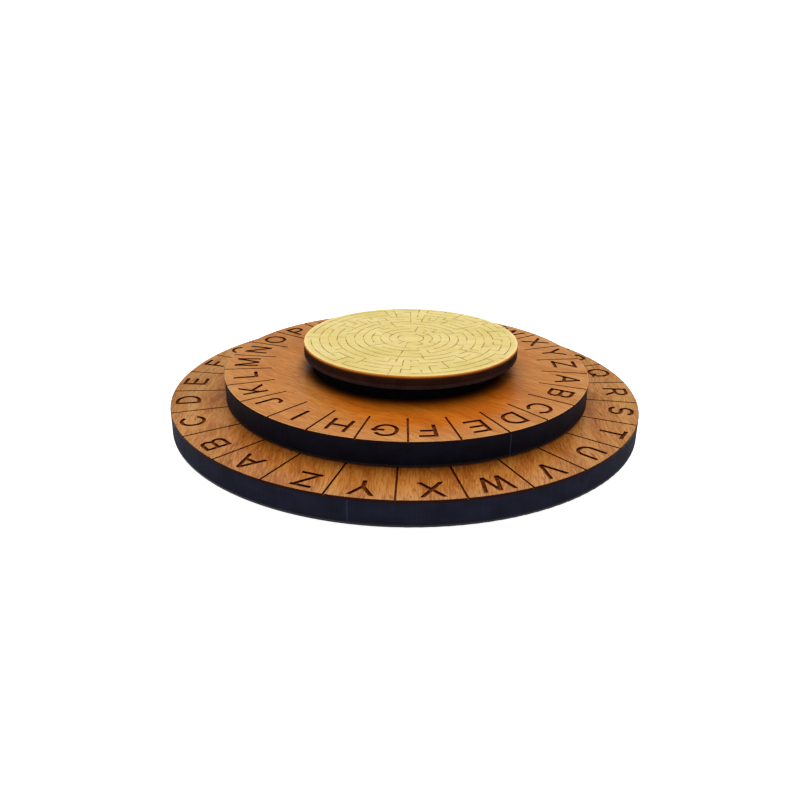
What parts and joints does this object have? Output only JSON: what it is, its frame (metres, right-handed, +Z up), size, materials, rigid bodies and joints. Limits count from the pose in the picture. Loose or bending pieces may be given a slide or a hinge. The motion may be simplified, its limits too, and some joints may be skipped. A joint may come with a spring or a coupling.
{
  "type": "cipher wheel",
  "caption": "Two-ring wooden cipher wheel: a letter wheel turns on a larger letter wheel, under a raised round knob with a maze.",
  "frame": {"origin": "on the table, under the middle of the large wheel, on the pivot's axis", "axes": "+Z up along the pivot's axis; -Y faces the user, who sees the maze knob on top"},
  "size_m": [0.12, 0.12, 0.0207],
  "materials": {
    "cherry_veneer": "satin-oiled cherry veneer with laser-charred engraving",
    "charred_board": "fibreboard, laser-charred black on its cut edge",
    "back_veneer": "satin-oiled plain veneer",
    "maple_ply": "pale varnished ply face with fine laser scoring",
    "ply_core": "ply core, laser-charred at the edge",
    "ply_back": "ply back, scorched brown at the edge",
    "brass": "turned brass, lightly tarnished",
    "steel": "plain steel",
    "nylon": "natural nylon",
    "cork": "pressed cork granules"
  },
  "bodies": {
    "base_wheel": {"outer_wheel_face": "cherry_veneer", "outer_wheel_core": "charred_board", "outer_wheel_back": "back_veneer", "binding_post": "brass", "post_screw": "brass", "thrust_washer": "nylon", "disc_spring": "steel", "cork_pad_1": "cork", "cork_pad_2": "cork", "cork_pad_3": "cork", "cork_pad_4": "cork"},
    "turning_wheel": {"inner_wheel_face": "cherry_veneer", "inner_wheel_core": "charred_board", "inner_wheel_back": "back_veneer", "flat_washer": "steel", "knob_neck": "charred_board", "knob_cap_back": "ply_back", "knob_cap_core": "ply_core", "knob_cap_face": "maple_ply"}
  },
  "joints": [
    {"name": "inner_wheel_turn", "type": "hinge", "parent": "base_wheel", "child": "turning_wheel", "pos_m": [0, 0, 0.0105], "axis": [0, 0, 1], "continuous": true}
  ]
}
